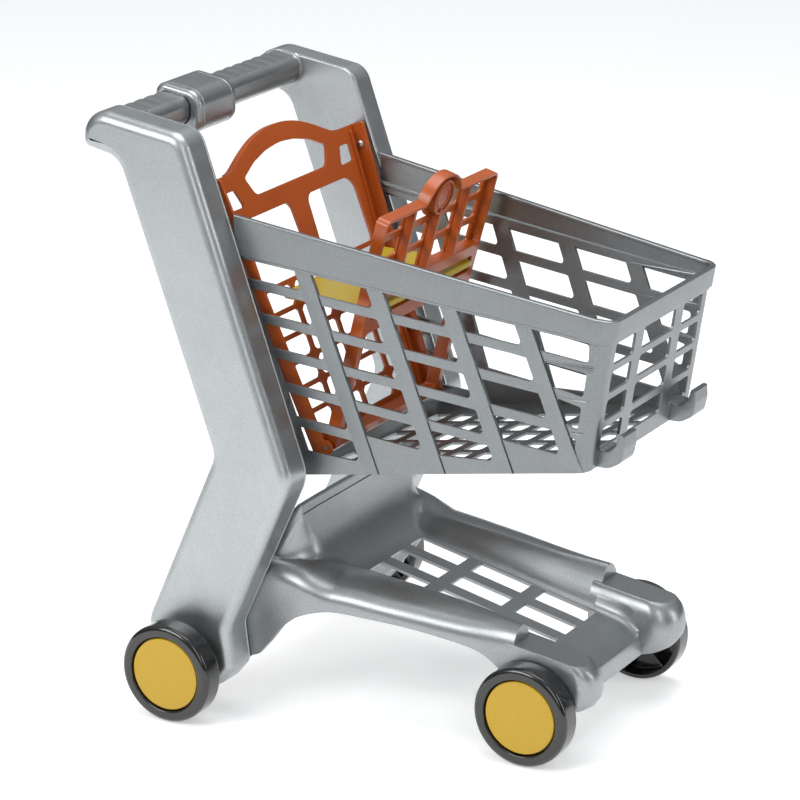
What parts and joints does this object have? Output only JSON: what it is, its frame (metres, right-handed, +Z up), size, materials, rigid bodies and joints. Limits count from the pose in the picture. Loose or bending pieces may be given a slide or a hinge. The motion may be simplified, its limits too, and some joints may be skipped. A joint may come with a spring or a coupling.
{
  "type": "toy shopping cart",
  "caption": "Child's moulded toy shopping cart: two slanted side uprights with a handle, a slotted basket with a folding doll seat, a low tray and rolling wheels.",
  "frame": {"origin": "centre of the bounding box at floor level", "axes": "+X forward, the way the cart rolls; +Y the cart's left side; +Z up"},
  "size_m": [0.5004, 0.395, 0.5529],
  "materials": {
    "body_silver": "silver metallic plastic, satin, fine flake",
    "handle_silver": "silver metallic plastic, satin",
    "seat_orange": "burnt orange moulded plastic, satin",
    "pan_yellow": "yellow moulded plastic, satin",
    "cap_yellow": "golden yellow moulded plastic, fine grain",
    "tyre_black": "black moulded plastic, glossy",
    "steel": "zinc plated"
  },
  "bodies": {
    "frame": {"upright_shell_right": "body_silver", "upright_cover_right": "body_silver", "upright_screw_right_1": "steel", "upright_screw_right_2": "steel", "upright_screw_right_3": "steel", "upright_screw_right_4": "steel", "upright_shell_left": "body_silver", "upright_cover_left": "body_silver", "upright_screw_left_1": "steel", "upright_screw_left_2": "steel", "upright_screw_left_3": "steel", "upright_screw_left_4": "steel", "handle_bar": "handle_silver", "handle_sleeve": "handle_silver", "basket": "body_silver", "basket_screw_right_1": "steel", "basket_screw_right_2": "steel", "basket_screw_left_1": "steel", "basket_screw_left_2": "steel", "seat_back": "seat_orange", "seat_screw_right_1": "steel", "seat_screw_right_2": "steel", "seat_screw_left_1": "steel", "seat_screw_left_2": "steel", "seat_hinge_rod": "steel", "base_tray": "body_silver", "tray_screw_right_1": "steel", "tray_screw_right_2": "steel", "tray_screw_left_1": "steel", "tray_screw_left_2": "steel", "axle_front": "steel", "axle_rear": "steel", "push_nut_rear_right": "steel", "push_nut_rear_left": "steel", "push_nut_front_right": "steel", "push_nut_front_left": "steel"},
    "wheel_body_rear_right": {"wheel_rear_right": "tyre_black", "hub_cap_rear_right": "cap_yellow"},
    "wheel_body_rear_left": {"wheel_rear_left": "tyre_black", "hub_cap_rear_left": "cap_yellow"},
    "wheel_body_front_right": {"wheel_front_right": "tyre_black", "hub_cap_front_right": "cap_yellow"},
    "wheel_body_front_left": {"wheel_front_left": "tyre_black", "hub_cap_front_left": "cap_yellow"},
    "seat_front_body": {"seat_front": "seat_orange"},
    "seat_pan_body": {"seat_pan": "pan_yellow"}
  },
  "joints": [
    {"name": "wheel_rear_right_roll", "type": "hinge", "parent": "frame", "child": "wheel_body_rear_right", "pos_m": [-0.152, -0.186, 0.046], "axis": [0, 1, 0], "continuous": true},
    {"name": "wheel_rear_left_roll", "type": "hinge", "parent": "frame", "child": "wheel_body_rear_left", "pos_m": [-0.152, 0.186, 0.046], "axis": [0, 1, 0], "continuous": true},
    {"name": "wheel_front_right_roll", "type": "hinge", "parent": "frame", "child": "wheel_body_front_right", "pos_m": [0.17, -0.113, 0.046], "axis": [0, 1, 0], "continuous": true},
    {"name": "wheel_front_left_roll", "type": "hinge", "parent": "frame", "child": "wheel_body_front_left", "pos_m": [0.17, 0.113, 0.046], "axis": [0, 1, 0], "continuous": true},
    {"name": "seat_front_fold", "type": "hinge", "parent": "frame", "child": "seat_front_body", "pos_m": [-0.039, 0, 0.252], "axis": [0, -1, 0], "range_deg": [0, 30]},
    {"name": "seat_pan_fold", "type": "hinge", "parent": "seat_front_body", "child": "seat_pan_body", "pos_m": [-0.00423, 0, 0.39126], "axis": [0, 1, 0], "range_deg": [0, 102]}
  ],
  "couplings": [
    {"joint": "seat_pan_fold", "follows": "seat_front_fold", "ratio": 3.4}
  ]
}
